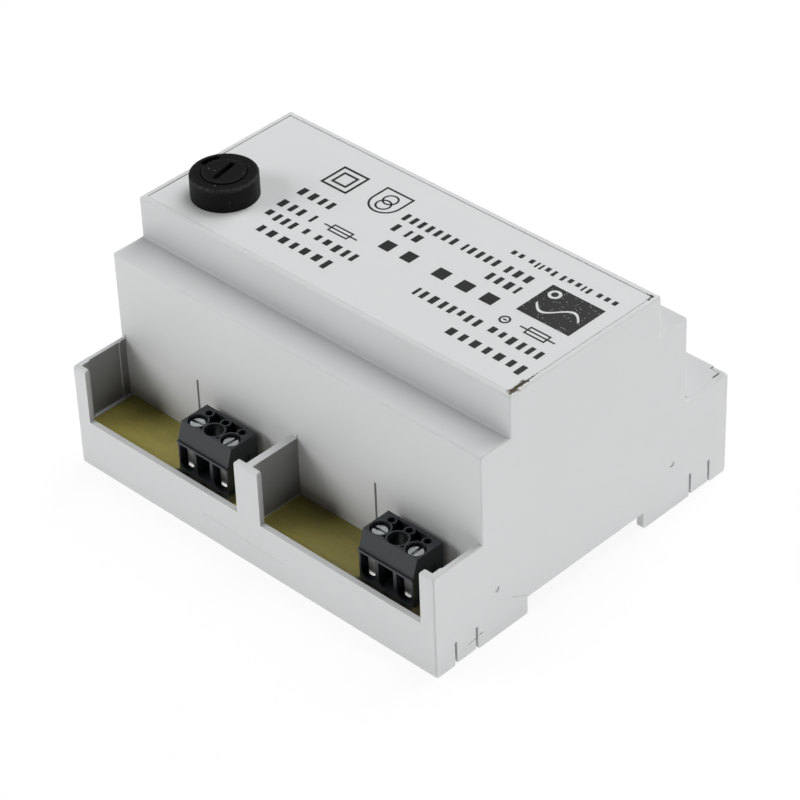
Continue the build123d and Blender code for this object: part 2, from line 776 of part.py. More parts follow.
for name, cap_base, direction in (("fuse_lower_cap", fuse_bottom, 1), ("fuse_upper_cap", fuse_top, -1)):
    with BuildPart() as cap:
        with BuildSketch(Plane.XY.offset(cap_base)):
            with Locations((fuse_x, fuse_y)):
                Circle(fuse_cap_radius)
        extrude(amount=direction * fuse_cap_length)
        with BuildSketch(Plane.XY.offset(cap_base + direction * fuse_cap_wall)):
            with Locations((fuse_x, fuse_y)):
                Circle(fuse_glass_radius)
        extrude(amount=direction * fuse_cap_length, mode=Mode.SUBTRACT)
    finish(cap.part, name)

with BuildPart() as fuse_wire:
    with BuildSketch(Plane.XY.offset(fuse_bottom + fuse_cap_wall)):
        with Locations((fuse_x, fuse_y)):
            Circle(fuse_wire_radius)
    extrude(amount=fuse_length - 2 * fuse_cap_wall)
finish(fuse_wire.part, "fuse_wire")

# Lower contact: a disc under the fuse on a stem, with a flat tag through the barrel floor.
barrel_inside = barrel_bottom + barrel_floor
with BuildPart() as end_contact:
    with BuildSketch(Plane.XY.offset(fuse_bottom - end_contact_thickness)):
        with Locations((fuse_x, fuse_y)):
            Circle(end_contact_radius)
    extrude(amount=end_contact_thickness)
    with BuildSketch(Plane.XY.offset(barrel_inside)):
        with Locations((fuse_x, fuse_y)):
            Circle(end_contact_stem_radius + slip_gap)
    extrude(amount=fuse_bottom - end_contact_thickness - barrel_inside)
    with BuildSketch(Plane.XY.offset(contact_tag_bottom)):
        with Locations((fuse_x, fuse_y)):
            Rectangle(contact_strip_thickness, contact_strip_width)
    extrude(amount=barrel_inside - contact_tag_bottom)
finish(end_contact.part, "fuse_lower_contact")

# Upper contact: a bowed strip that presses on the upper cap and runs down inside the barrel.
touch_x = fuse_x - fuse_cap_radius - slip_gap / 3 - contact_strip_thickness / 2
touch_z = fuse_top - carrier_grip_depth - 2 * contact_strip_thickness
with BuildPart() as side_contact:
    with BuildSketch(Plane.XZ.offset(-fuse_y)):
        with BuildLine():
            FilletPolyline((strip_x, contact_tag_bottom), (strip_x, touch_z - fuse_cap_length),
                           (touch_x, touch_z - fuse_cap_length / 5), (strip_x, touch_z + 1),
                           radius=contact_strip_thickness)
        trace(line_width=contact_strip_thickness)
    extrude(amount=contact_strip_width / 2, both=True)
finish(side_contact.part, "fuse_upper_contact")

# Fuse leads: from the two tags over to the board.
with BuildPart() as fuse_leads:
    for lead_x in (fuse_x, strip_x):
        add(lead([(lead_x, fuse_y - contact_strip_width / 2, fuse_lead_height),
                  (lead_x, -lead_landing, fuse_lead_height), (lead_x, -lead_landing, board_top)],
                 2 * lead_bend_radius, lead_radius))
finish(fuse_leads.part, "fuse_leads")

# Terminal block housing: three cells in a row, with thin rings and pockets in its top.
block_base = board_top
pole_offsets = [(index - (pole_count - 1) / 2) * pole_pitch for index in range(pole_count)]
with BuildPart() as block:
    with BuildSketch(Plane.YZ):
        with BuildLine():
            Polyline((-block_back, block_base), (-block_front, block_base),
                     (-block_front, block_base + ledge_height),
                     (-block_front - ledge_reach, block_base + ledge_height),
                     (-block_front - ledge_reach, block_base + ledge_height + ledge_thickness),
                     (-block_front + ledge_reach / 2, block_base + ledge_height + ledge_thickness),
                     (-block_top_front, block_base + block_height),
                     (-block_back, block_base + block_height), close=True)
        make_face()
    extrude(amount=block_length / 2, both=True)
    # Pockets between the rings around the screw holes and the probe holes
    with BuildSketch(Plane.XY.offset(block_base + block_height)):
        pocket_front = block_top_front - top_wall
        pocket_back = block_back + top_wall
        with Locations((0, -(pocket_front + pocket_back) / 2)):
            Rectangle(block_length - pole_pitch, pocket_front - pocket_back)
        for offset_x in pole_offsets:
            with Locations((offset_x, -screw_line)):
                Circle(screw_hole_radius + ring_wall, mode=Mode.SUBTRACT)
            with Locations((offset_x, -probe_line)):
                Circle(probe_hole_radius + ring_wall, mode=Mode.SUBTRACT)
        for offset_x in pole_offsets:
            with Locations((offset_x, -probe_line)):
                Circle(probe_hole_radius)
    extrude(amount=-top_pocket_depth, mode=Mode.SUBTRACT)
    with BuildSketch(Plane.XY.offset(block_base + block_height)):
        for offset_x in pole_offsets:
            with Locations((offset_x, -screw_line)):
                Circle(screw_hole_radius)
    extrude(amount=cavity_height - block_height, mode=Mode.SUBTRACT)
    # Cells: a cavity on a thin floor, and a wire mouth with a round lower edge
    with BuildSketch(Plane.XY.offset(block_base + cell_floor)):
        for offset_x in pole_offsets:
            with Locations((offset_x, -(block_front - cell_wall + cell_back) / 2)):
                Rectangle(2 * cell_half_width, block_front - cell_wall - cell_back)
    extrude(amount=cavity_height - cell_floor, mode=Mode.SUBTRACT)
    # A hole in the floor of each fitted cell for the solder pin
    with BuildSketch(Plane.XY.offset(block_base)):
        with Locations((pole_offsets[0], -pin_line), (pole_offsets[-1], -pin_line)):
            Circle(pin_hole_radius)
    extrude(amount=cell_floor, mode=Mode.SUBTRACT)
    with BuildSketch(Plane.XZ.offset(block_front)):
        for offset_x in pole_offsets:
            mouth_spring = block_base + cell_floor + cell_half_width
            with Locations((offset_x, (mouth_spring + block_base + cell_ceiling) / 2)):
                Rectangle(2 * cell_half_width, block_base + cell_ceiling - mouth_spring)
            with Locations((offset_x, mouth_spring)):
                Circle(cell_half_width)
    extrude(amount=-cell_wall, mode=Mode.SUBTRACT)
    # Upright groove on one side, where a further block would lock in
    with BuildSketch(Plane.YZ.offset(block_length / 2)):
        with Locations((-side_slot_place, block_base + side_slot_height / 2)):
            Rectangle(side_slot_width, side_slot_height)
    extrude(amount=-side_slot_depth, mode=Mode.SUBTRACT)

# Clamp body: a folded box whose thick top is tapped for the screw, with a solder pin below.
with BuildPart() as clamp:
    with BuildSketch(Plane.XZ.offset(clamp_front)):
        with Locations((0, block_base + (clamp_bottom + clamp_top) / 2)):
            Rectangle(2 * clamp_half_width, clamp_top - clamp_bottom)
        inside_low = clamp_bottom + clamp_floor
        inside_high = clamp_top - clamp_nut
        with Locations((0, block_base + (inside_low + inside_high) / 2)):
            Rectangle(2 * (clamp_half_width - clamp_side), inside_high - inside_low, mode=Mode.SUBTRACT)
    extrude(amount=clamp_back - clamp_front)
    with BuildSketch(Plane.XY.offset(block_base + clamp_top)):
        with Locations((0, -screw_line)):
            Circle(clamp_hole_radius)
    extrude(amount=-clamp_nut, mode=Mode.SUBTRACT)
    with BuildSketch(Plane.XY.offset(board_bottom - clamp_bottom)):
        with Locations((0, -pin_line)):
            Circle(pin_radius)
    extrude(amount=pin_length + clamp_bottom)

# Wire guard: a thin strip under the screw tip that hangs down in front of the clamp.
guard_top = block_base + clamp_top - clamp_nut - easy_gap / 3
with BuildPart() as guard:
    with BuildSketch(Plane.YZ):
        with BuildLine():
            flat_line = guard_top - guard_thickness / 2
            front_run = FilletPolyline((-guard_back, flat_line), (-guard_line, flat_line),
                                       (-guard_line, block_base + 2 * guard_tip),
                                       radius=guard_bend_radius)
            TangentArc(front_run @ 1, (-guard_curl, block_base + guard_tip), tangent=front_run % 1)
        trace(line_width=guard_thickness)
    extrude(amount=guard_half_width, both=True)
    # The free end is round
    with BuildSketch(Plane.XZ.offset(guard_back - overshoot)):
        tip_centre = block_base + guard_tip + guard_half_width
        with Locations((0, tip_centre)):
            Circle(guard_half_width)
        with Locations((0, (tip_centre + guard_top + overshoot) / 2)):
            Rectangle(2 * guard_half_width, guard_top + overshoot - tip_centre)
    extrude(amount=clamp_depth + 2 * overshoot, mode=Mode.INTERSECT)

# Terminal screw: a slotted screw whose tip rests on the wire guard.
head_top = block_base + block_height - screw_head_sink
with BuildPart() as screw:
    with BuildSketch(Plane.XY.offset(guard_top)):
        with Locations((0, -screw_line)):
            Circle(screw_radius)
    extrude(amount=head_top - guard_top)
    with BuildSketch(Plane.XY.offset(head_top - screw_head_height)):
        with Locations((0, -screw_line)):
            Circle(screw_head_radius)
    extrude(amount=screw_head_height)
    fillet(edges().filter_by(GeomType.CIRCLE).group_by(Axis.Z)[-1], screw_head_height / 4)
    with BuildSketch(Plane.XY.offset(head_top)):
        with Locations((0, -screw_line)):
            Rectangle(3 * screw_head_radius, screw_slot_width)
    extrude(amount=-screw_slot_depth, mode=Mode.SUBTRACT)

pole_number = 0
for block_x, name in zip(block_places, ("left_terminal_block", "right_terminal_block")):
    finish(block.part.moved(Location((block_x, 0, 0))), name)
    for offset_x in (pole_offsets[0], pole_offsets[-1]):
        pole_number += 1
        place = Location((block_x + offset_x, 0, 0))
        turned = screw.part.rotate(Axis((0, -screw_line, 0), (0, 0, 1)), screw_slot_angles[pole_number - 1])
        finish(clamp.part.moved(place), f"clamp_body_{pole_number}")
        finish(guard.part.moved(place), f"wire_guard_{pole_number}")
        finish(turned.moved(place), f"terminal_screw_{pole_number}")
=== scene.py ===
import math

import bmesh
import bpy
import numpy as np
from mathutils import Matrix, Vector


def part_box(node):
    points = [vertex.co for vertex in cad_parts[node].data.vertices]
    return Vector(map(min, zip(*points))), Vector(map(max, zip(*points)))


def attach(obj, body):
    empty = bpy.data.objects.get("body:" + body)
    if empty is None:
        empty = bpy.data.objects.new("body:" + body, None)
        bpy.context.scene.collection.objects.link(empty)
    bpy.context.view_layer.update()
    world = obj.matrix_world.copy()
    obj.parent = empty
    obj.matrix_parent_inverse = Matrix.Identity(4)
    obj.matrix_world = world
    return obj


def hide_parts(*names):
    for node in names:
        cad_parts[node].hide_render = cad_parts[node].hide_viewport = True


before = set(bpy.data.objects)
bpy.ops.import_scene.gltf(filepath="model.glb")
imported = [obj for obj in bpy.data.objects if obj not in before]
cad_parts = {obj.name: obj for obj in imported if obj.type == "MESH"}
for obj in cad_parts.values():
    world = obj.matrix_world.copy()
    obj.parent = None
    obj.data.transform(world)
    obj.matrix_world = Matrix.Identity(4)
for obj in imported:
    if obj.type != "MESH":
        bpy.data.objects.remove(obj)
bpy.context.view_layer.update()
mm = 0.001


# Housing, far terminal covers and front plate. They are moulded from one light grey plastic with a matt
# surface and a rare dark speck. The plate is let into the front, and the covers snap on. Painted shade greys
# the inner side walls of the near trough.
def shader_group(name, inputs, outputs):
    """Start a shader node group with the given sockets, each (name, kind, default), and return its parts."""
    tree = bpy.data.node_groups.new(name, "ShaderNodeTree")
    for socket, kind, default in inputs:
        made = tree.interface.new_socket(name=socket, in_out="INPUT", socket_type=f"NodeSocket{kind}")
        if default is not None:
            made.default_value = default
    for socket, kind in outputs:
        tree.interface.new_socket(name=socket, in_out="OUTPUT", socket_type=f"NodeSocket{kind}")
    return tree, tree.nodes.new("NodeGroupInput"), tree.nodes.new("NodeGroupOutput")


def add_node(tree, kind, settings=None, **inputs):
    """Add a shader node. settings are its properties, and each input is a value or a socket to link."""
    node = tree.nodes.new(f"ShaderNode{kind}")
    for key, value in (settings or {}).items():
        setattr(node, key, value)
    for key, value in inputs.items():
        name = key.replace("_", " ")
        socket = node.inputs[int(key[1:])] if key[0] == "i" and key[1:].isdigit() else node.inputs[name]
        if isinstance(value, bpy.types.NodeSocket):
            tree.links.new(value, socket)
        else:
            socket.default_value = value
    return node


def maths(tree, operation, *values, clamp=False):
    """Add a Math node and return its result."""
    inputs = {f"i{index}": value for index, value in enumerate(values)}
    node = add_node(tree, "Math", {"operation": operation, "use_clamp": clamp}, **inputs)
    return node.outputs[0]


def blend_colour(tree, mask, low, high):
    """Return a colour that goes from low to high as the mask goes from 0 to 1."""
    node = add_node(tree, "Mix", {"data_type": "RGBA", "clamp_factor": True}, i0=mask, i6=low, i7=high)
    return node.outputs[2]


def moulding_group():
    """Noise of moulded plastic: fine grain, slow tone changes, and specks in a share of the cells."""
    tree, given, result = shader_group(
        "moulding", [("Vector", "Vector", None), ("Grain Scale", "Float", 2500.0),
                     ("Speck Scale", "Float", 900.0), ("Speck Share", "Float", 0.05)],
        [("Grain", "Float"), ("Tone", "Float"), ("Specks", "Float")])
    place = given.outputs["Vector"]
    grain = add_node(tree, "TexNoise", Vector=place, Scale=given.outputs["Grain Scale"], Detail=3.0)
    tone = add_node(tree, "TexNoise", Vector=place, Scale=60.0, Detail=4.0, Roughness=0.6)
    cells = add_node(tree, "TexVoronoi", Vector=place, Scale=given.outputs["Speck Scale"])
    pick = add_node(tree, "SeparateColor", Color=cells.outputs["Color"])
    chosen = maths(tree, "LESS_THAN", pick.outputs[0], given.outputs["Speck Share"])
    core = add_node(tree, "MapRange", {"interpolation_type": "SMOOTHSTEP"}, Value=cells.outputs["Distance"],
                    From_Min=0.12, From_Max=0.32, To_Min=1.0, To_Max=0.0)
    tree.links.new(grain.outputs[0], result.inputs["Grain"])
    tree.links.new(tone.outputs[0], result.inputs["Tone"])
    tree.links.new(maths(tree, "MULTIPLY", chosen, core.outputs[0]), result.inputs["Specks"])
    return tree


def stroke_group():
    """Mask of a stroke: 1 nearer the line from Start to End than Width, ragged by noise, and 0 outside it."""
    tree, given, result = shader_group(
        "stroke", [("Vector", "Vector", None), ("Start", "Vector", None), ("End", "Vector", None),
                   ("Width", "Float", 0.0002), ("Ragged", "Float", 0.5)],
        [("Mask", "Float")])
    place, start = given.outputs["Vector"], given.outputs["Start"]
    along = add_node(tree, "VectorMath", {"operation": "SUBTRACT"}, i0=given.outputs["End"], i1=start)
    reach = add_node(tree, "VectorMath", {"operation": "SUBTRACT"}, i0=place, i1=start)
    dot = add_node(tree, "VectorMath", {"operation": "DOT_PRODUCT"}, i0=reach.outputs[0], i1=along.outputs[0])
    square = add_node(tree, "VectorMath", {"operation": "DOT_PRODUCT"},
                      i0=along.outputs[0], i1=along.outputs[0])
    share = maths(tree, "DIVIDE", dot.outputs["Value"], square.outputs["Value"], clamp=True)
    foot = add_node(tree, "VectorMath", {"operation": "SCALE"}, i0=along.outputs[0], Scale=share)
    gap = add_node(tree, "VectorMath", {"operation": "DISTANCE"}, i0=reach.outputs[0], i1=foot.outputs[0])
    noise = add_node(tree, "TexNoise", Vector=place, Scale=1500.0, Detail=3.0)
    swing = maths(tree, "MULTIPLY", maths(tree, "SUBTRACT", noise.outputs[0], 0.5), given.outputs["Ragged"])
    spread = maths(tree, "MAXIMUM", maths(tree, "ADD", maths(tree, "MULTIPLY", swing, 6.0), 1.0), 0.05)
    edge = maths(tree, "MULTIPLY", given.outputs["Width"], spread)
    soft = add_node(tree, "MapRange", {"interpolation_type": "SMOOTHSTEP"}, Value=gap.outputs["Value"],
                    From_Min=edge, From_Max=maths(tree, "MULTIPLY", edge, 0.4), To_Min=0.0, To_Max=1.0)
    tree.links.new(soft.outputs[0], result.inputs["Mask"])
    return tree


moulding = moulding_group()
stroke = stroke_group()


def add_group(tree, group, **inputs):
    """Place a node group in a material."""
    node = tree.nodes.new("ShaderNodeGroup")
    node.node_tree = group
    for key, value in inputs.items():
        socket = node.inputs[key.replace("_", " ")]
        if isinstance(value, bpy.types.NodeSocket):
            tree.links.new(value, socket)
        else:
            socket.default_value = value
    return node


def new_material(name):
    """Start a material. Returns it with its node tree, its main shader and the object coordinates."""
    material = bpy.data.materials.new(name)
    material.use_nodes = True
    tree = material.node_tree
    place = tree.nodes.new("ShaderNodeTexCoord").outputs["Object"]
    return material, tree, tree.nodes["Principled BSDF"], place


def add_marks(tree, place, paint, marks):
    """Lay marks over the paint, each (colour, width, ragged, start, end) with its lengths in millimetres."""
    for colour, width, ragged, start, end in marks:
        mark = add_group(tree, stroke, Vector=place, Start=tuple(v * mm for v in start),
                         End=tuple(v * mm for v in end), Width=width * mm, Ragged=ragged)
        paint = blend_colour(tree, mark.outputs["Mask"], paint, (*colour, 1.0))
    return paint


def painted_wall_shade_mask(tree, place):
    """Share of painted shade on the faces of the near trough that look towards +X, with less near the posts.
    """
    facing = add_node(tree, "SeparateXYZ", Vector=tree.nodes.new("ShaderNodeNewGeometry").outputs["Normal"])
    parts = add_node(tree, "SeparateXYZ", Vector=place)
    turned = add_node(tree, "MapRange", Value=facing.outputs["X"], From_Min=0.5, From_Max=0.9)
    inside = add_node(tree, "MapRange", Value=parts.outputs["X"],
                      From_Min=(end_x - 0.5) * mm, From_Max=(end_x - 0.9) * mm)
    above = add_node(tree, "MapRange", Value=parts.outputs["Z"],
                     From_Min=board_level * mm, From_Max=(board_level + 0.5) * mm)
    in_trough = add_node(tree, "MapRange", Value=parts.outputs["Y"],
                         From_Min=(riser_y + 0.5) * mm, From_Max=riser_y * mm)
    deep = add_node(tree, "MapRange", Value=parts.outputs["Y"],
                    From_Min=near_y * mm, From_Max=(near_y + 3.5) * mm, To_Min=0.35, To_Max=0.82)
    share = maths(tree, "MULTIPLY", turned.outputs[0], inside.outputs[0])
    share = maths(tree, "MULTIPLY", share, maths(tree, "MULTIPLY", above.outputs[0], in_trough.outputs[0]))
    return maths(tree, "MULTIPLY", share, deep.outputs[0])


def moulded_plastic(name, colour, roughness, speck_colour=None, speck_share=0.0, speck_scale=900.0,
                    tone_depth=0.05, grain_scale=2500.0, grain_height=0.02, marks=(), painted_wall_shade=None):
    """Plastic with grain and a slowly changing tone, and where they are given, specks, painted wall shade and
    marks.
    """
    material, tree, shader, place = new_material(name)
    noise = add_group(tree, moulding, Vector=place, Grain_Scale=grain_scale, Speck_Scale=speck_scale,
                      Speck_Share=speck_share)
    light = [min(1.0, c * (1 + tone_depth)) for c in colour] + [1.0]
    dark = [c * (1 - tone_depth) for c in colour] + [1.0]
    paint = blend_colour(tree, noise.outputs["Tone"], tuple(dark), tuple(light))
    if speck_colour:
        paint = blend_colour(tree, noise.outputs["Specks"], paint, (*speck_colour, 1.0))
    # Painted shade: the trough's inner side walls that face +X are greyed towards the given colour.
    if painted_wall_shade:
        paint = blend_colour(tree, painted_wall_shade_mask(tree, place), paint, (*painted_wall_shade, 1.0))
    tree.links.new(add_marks(tree, place, paint, marks), shader.inputs["Base Color"])
    rough = add_node(tree, "MapRange", Value=noise.outputs["Grain"],
                     To_Min=roughness - 0.06, To_Max=roughness + 0.06)
    tree.links.new(rough.outputs[0], shader.inputs["Roughness"])
    bump = add_node(tree, "Bump", Strength=0.35, Distance=grain_height * mm, Height=noise.outputs["Grain"])
    tree.links.new(bump.outputs[0], shader.inputs["Normal"])
    return material


def dress(material, *names):
    """Give the CAD nodes this material in place of their plain one."""
    for name in names:
        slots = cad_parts[name].data.materials
        slots.clear()
        slots.append(material)


def photo_corner(place):
    """Where a corner of the housing goes: the near lip lies lower, and the steps have tighter edges."""
    x, y, z = place / mm
    if y < trough_wall_y and abs(z - solid_lip) < 0.05:
        z = photo_lip
    if abs(x) < recess_x and abs(y) < recess_y and z > top_z - 0.1:
        return Vector((x, y, top_z)) * mm
    side = math.copysign(1.0, y)
    for edge_y, edge_z, centre_y, centre_z, share in step_edges:
        turn_y, turn_z = math.copysign(1.0, centre_y - edge_y), math.copysign(1.0, centre_z - edge_z)
        out_y, out_z = (centre_y - side * y) * turn_y, (centre_z - z) * turn_z
        inward = abs(centre_y - edge_y) - math.hypot(out_y, out_z)
        if min(out_y, out_z) > -0.002 and abs(inward) < deepest_edge:
            sharp_y, sharp_z = edge_y + inward * turn_y, edge_z + inward * turn_z
            y = side * (sharp_y + share * (side * y - sharp_y))
            z = sharp_z + share * (z - sharp_z)
            break
    return Vector((x, y, z)) * mm


def closed_cover_corner(place):
    """Where a corner of the right cover goes: its end lies close against the end wall, with no dark seam."""
    x, y, z = place / mm
    if x > cover_high.x - 0.05:
        x = end_x - cover_reach
    return Vector((x, y, z)) * mm


def reshaped_copy(node, name, move):
    """Closed copy of a CAD node that shows in its place, with each corner moved and the normals kept."""
    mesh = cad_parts[node].data.copy()
    mesh.name = name
    facing = [tuple(corner.vector) for corner in mesh.corner_normals]
    work = bmesh.new()
    work.from_mesh(mesh)
    bmesh.ops.remove_doubles(work, verts=work.verts, dist=0.001 * mm)
    for vertex in work.verts:
        vertex.co = move(vertex.co)
    work.to_mesh(mesh)
    work.free()
    mesh.normals_split_custom_set(facing)
    piece = bpy.data.objects.new(name, mesh)
    bpy.context.scene.collection.objects.link(piece)
    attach(piece, "transformer")
    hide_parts(node)
    return piece


shell_low, shell_high = (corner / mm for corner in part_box("housing_shell"))
board_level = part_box("terminal_board")[1].z / mm
plate_low, plate_high = (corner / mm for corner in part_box("front_plate"))
cover_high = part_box("right_terminal_cover")[1] / mm
grey = (0.635, 0.640, 0.645)
speck_grey = (0.47, 0.47, 0.46)
soil = (0.045, 0.040, 0.030)
brown_soil = (0.055, 0.046, 0.022)
faint = (0.50, 0.50, 0.50)
shade = (0.40, 0.40, 0.40)
end_x = shell_high.x
near_y = shell_low.y
top_z = shell_high.z
seam_x, plate_top = plate_high.x, plate_high.z
seam_near, seam_far = plate_low.y, plate_high.y
riser_y = -31.0
trough_wall_y = -40.0
solid_lip = 14.2
photo_lip = 12.7
recess_x = plate_high.x + 0.25
recess_y = plate_high.y + 0.2
cover_reach = 1.2
deepest_edge = 0.5
# Rounded edges of the steps: sharp corner, centre of the round, and share of the radius that stays.
step_edges = [
    (22.5, top_z, 21.0, top_z - 1.5, 0.35),
    (22.5, 47.9, 24.0, 49.4, 0.25),
    (31.0, 47.9, 30.2, 47.1, 0.6),
]
housing_marks = [
    (soil, 0.12, 0.9, (end_x, -35.5, 3.2), (end_x, -31.4, 3.9)),
    (faint, 0.20, 0.4, (end_x, -22.4, 7.3), (end_x, -18.0, 5.1)),
    (faint, 0.14, 0.5, (-14.3, near_y, 6.6), (-10.3, near_y, 6.7)),
    (faint, 0.12, 0.5, (-10.3, near_y, 6.7), (9.8, near_y, 5.8)),
    (faint, 0.15, 0.6, (7.3, -30.9, 21.0), (8.3, -30.9, 13.7)),
    # Painted shade: a thin dark line along the small step of the riser.
    (faint, 0.09, 0.3, (-51.0, riser_y, 26.2), (51.0, riser_y, 26.2)),
    # Painted shade down the rounded near right corner edge.
    (shade, 0.28, 0.0, (end_x, near_y, 1.0), (end_x, near_y, 25.5)),
    (brown_soil, 0.85, 0.7, (seam_x + 0.4, seam_near - 0.2, top_z), (seam_x + 0.4, seam_near + 1.4, top_z)),
    (brown_soil, 0.50, 0.8, (seam_x + 0.3, seam_near + 1.0, top_z), (seam_x + 0.3, seam_near + 4.6, top_z)),
    (soil, 0.14, 1.0, (seam_x + 0.2, seam_near + 2.4, top_z), (seam_x + 0.2, seam_near + 7.0, top_z)),
    (shade, 0.10, 1.0, (seam_x + 0.2, seam_near + 7.0, top_z), (seam_x + 0.2, seam_far - 1.0, top_z)),
    (soil, 0.40, 0.9, (seam_x + 0.2, seam_far - 1.2, top_z), (seam_x + 0.2, seam_far + 0.2, top_z)),
    (soil, 0.30, 0.9, (seam_x - 1.2, seam_far + 0.1, top_z), (seam_x, seam_far + 0.1, top_z)),
]
housing = reshaped_copy("housing_shell", "housing_with_lip", photo_corner)
housing.data.materials.clear()
# The housing's paint carries painted shade on the near trough's inner side walls that face +X.
housing.data.materials.append(moulded_plastic("housing_moulding", grey, 0.52, speck_grey, 0.0004, 1300.0,
                                              0.02, marks=housing_marks, painted_wall_shade=(0.09, 0.09, 0.085)))
dress(moulded_plastic("cover_moulding", grey, 0.52, speck_grey, 0.0004, 1300.0, 0.02),
      "left_terminal_cover", "right_terminal_cover")
reshaped_copy("right_terminal_cover", "right_cover_closed", closed_cover_corner)
plate_marks = [
    (brown_soil, 0.60, 0.8, (seam_x, seam_near, plate_top), (seam_x - 0.1, seam_near + 4.2, plate_top)),
    (soil, 0.10, 1.0, (seam_x, seam_near + 2.4, plate_top), (seam_x, seam_near + 8.0, plate_top)),
    (soil, 0.25, 0.9, (seam_x, seam_far - 1.5, plate_top), (seam_x, seam_far, plate_top)),
]
dress(moulded_plastic("plate_moulding", (0.665, 0.670, 0.675), 0.48, speck_grey, 0.0003, 900.0, 0.015,
                      grain_scale=3500.0, marks=plate_marks), "front_plate")


# Print on the front plate. It is a thin layer of black ink, screen printed on the plate, and shows plain
# shapes only: rows of small blocks, fuses, two rings, squares and a dark field. Its top faces the trough.
ink_height = 0.02


def flat_mesh(name, outlines):
    """Mesh of closed outlines in a plane, filled between even and odd rings, each a list of (x, y) in mm."""
    curve = bpy.data.curves.new(name, "CURVE")
    curve.dimensions = "2D"
    curve.fill_mode = "BOTH"
    curve.extrude = ink_height * mm / 2
    for outline in outlines:
        points = np.asarray(outline, float)
        spline = curve.splines.new("POLY")
        spline.points.add(len(points) - 1)
        flat = np.zeros((len(points), 4))
        flat[:, :2] = points * mm
        flat[:, 3] = 1.0
        spline.points.foreach_set("co", flat.ravel())
        spline.use_cyclic_u = True
    holder = bpy.data.objects.new(name, curve)
    mesh = bpy.data.meshes.new_from_object(holder)
    bpy.data.objects.remove(holder)
    return mesh


def on_plate(name, mesh, place, material):
    """Lay a flat mesh on the plate, turned half round so that its top faces the trough, and let it ride."""
    mesh.transform(Matrix.Translation((place[0] * mm, place[1] * mm, (plate_high.z + ink_height / 2) * mm))
                   @ Matrix.Rotation(math.pi, 4, "Z"))
    piece = bpy.data.objects.new(name, mesh)
    bpy.context.scene.collection.objects.link(piece)
    mesh.materials.clear()
    mesh.materials.append(material)
    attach(piece, "transformer")


def ring(radius, centre=(0, 0), count=48):
    """Points of a circle: the centre plus the radius times the cosine and the sine of an even turn."""
    turn = np.linspace(0, 2 * math.pi, count, endpoint=False)
    return np.stack([centre[0] + radius * np.cos(turn), centre[1] + radius * np.sin(turn)], 1)


def bar(length, width, centre=(0, 0)):
    """Corners of a bar around a centre."""
    x, y = centre
    half, rise = length / 2, width / 2
    return [(x - half, y - rise), (x + half, y - rise), (x + half, y + rise), (x - half, y + rise)]


def blocks(pattern, start, stop, height):
    """Row of small blocks. Each digit is a block, from 5 up a taller one, and a space is a gap."""
    widths = [1.2 if sign == " " else int(sign) % 4 + 1.0 for sign in pattern]
    scale = abs(stop - start) / (sum(widths) + 0.7 * (len(widths) - 1))
    edge = -abs(stop - start) / 2
    outlines = []
    for sign, width in zip(pattern, widths):
        if sign != " ":
            tall = height if sign >= "5" else 0.74 * height
            outlines.append(bar(0.6 * width * scale, tall, (edge + width * scale / 2, (tall - height) / 2)))
        edge += (width + 0.7) * scale
    return outlines


def fuse_symbol(length, width, line=0.42):
    """Outlines of a fuse: the box with its two ends, and the two spaces beside the line through it."""
    box_half, half, thin = 0.30 * length, length / 2, line / 2
    outer = [(-half, -thin), (-box_half, -thin), (-box_half, -width / 2), (box_half, -width / 2),
             (box_half, -thin), (half, -thin), (half, thin), (box_half, thin), (box_half, width / 2),
             (-box_half, width / 2), (-box_half, thin), (-half, thin)]
    space = width / 2 - thin - line
    middle = thin + space / 2
    inner = 2 * (box_half - line)
    return [outer, bar(inner, space, (0, middle)), bar(inner, space, (0, -middle))]


def wave(length, height, thickness, centre=(0, 0), count=32):
    """Outline of one sine wave, as an upper edge and the same edge shifted down by the thickness."""
    x = np.linspace(-length / 2, length / 2, count)
    y = height / 2 * np.sin(2 * math.pi * x / length)
    upper = np.stack([x, y + thickness / 2], 1)
    lower = np.stack([x, y - thickness / 2], 1)[::-1]
    return np.concatenate([upper, lower]) + np.asarray(centre)


def arch(width, height, inset=0.0, count=16):
    """Outline of an arch, square at its foot and round at its top, shrunk all round by the inset."""
    half, foot = width / 2 - inset, -height / 2 + inset
    turn = np.linspace(0, math.pi, count)
    crown = height / 2 - width / 2
    top = np.stack([half * np.cos(turn), crown + half * np.sin(turn)], 1)
    return np.concatenate([[(-half, foot), (half, foot)], top])


ink = moulded_plastic("black_ink", (0.010, 0.010, 0.011), 0.45, tone_depth=0.2, grain_height=0.01)
speckled_ink = moulded_plastic("speckled_ink", (0.012, 0.012, 0.013), 0.45, (0.42, 0.42, 0.42), 0.30, 1900.0,
                               0.2, grain_height=0.01)
rows = (
    ("output_title", "6332332", -4.5, -26.0, -14.0, 3.1),
    ("output_rating", "66732 2 6663", -2.1, -29.1, -8.6, 2.6),
    ("output_value", "5 667", -18.6, -29.6, -4.0, 2.6),
    ("output_power", "6677", -18.9, -29.5, 1.8, 2.6),
    ("middle_row_left", "777", 30.4, 11.6, -0.9, 3.2),
    ("middle_row_right", "66", 7.8, -3.2, -0.9, 3.2),
    ("class_row_left", "5766", 30.5, 21.4, 5.0, 2.6),
    ("class_row_right", "75 6", 3.4, -5.1, 5.0, 2.6),
    ("long_row", "776 66665 6666666", 30.2, -6.0, 9.2, 2.5),
    ("far_row", "333 65336 63553 33", 48.4, 19.5, 14.2, 1.9),
    ("input_title", "6232323", 49.5, 28.0, -14.5, 3.1),
    ("input_rating", "666723 66266765", 48.8, 14.2, -8.6, 2.6),
)
for name, pattern, start, stop, level, height in rows:
    on_plate(name, flat_mesh(name, blocks(pattern, start, stop, height)), ((start + stop) / 2, level), ink)
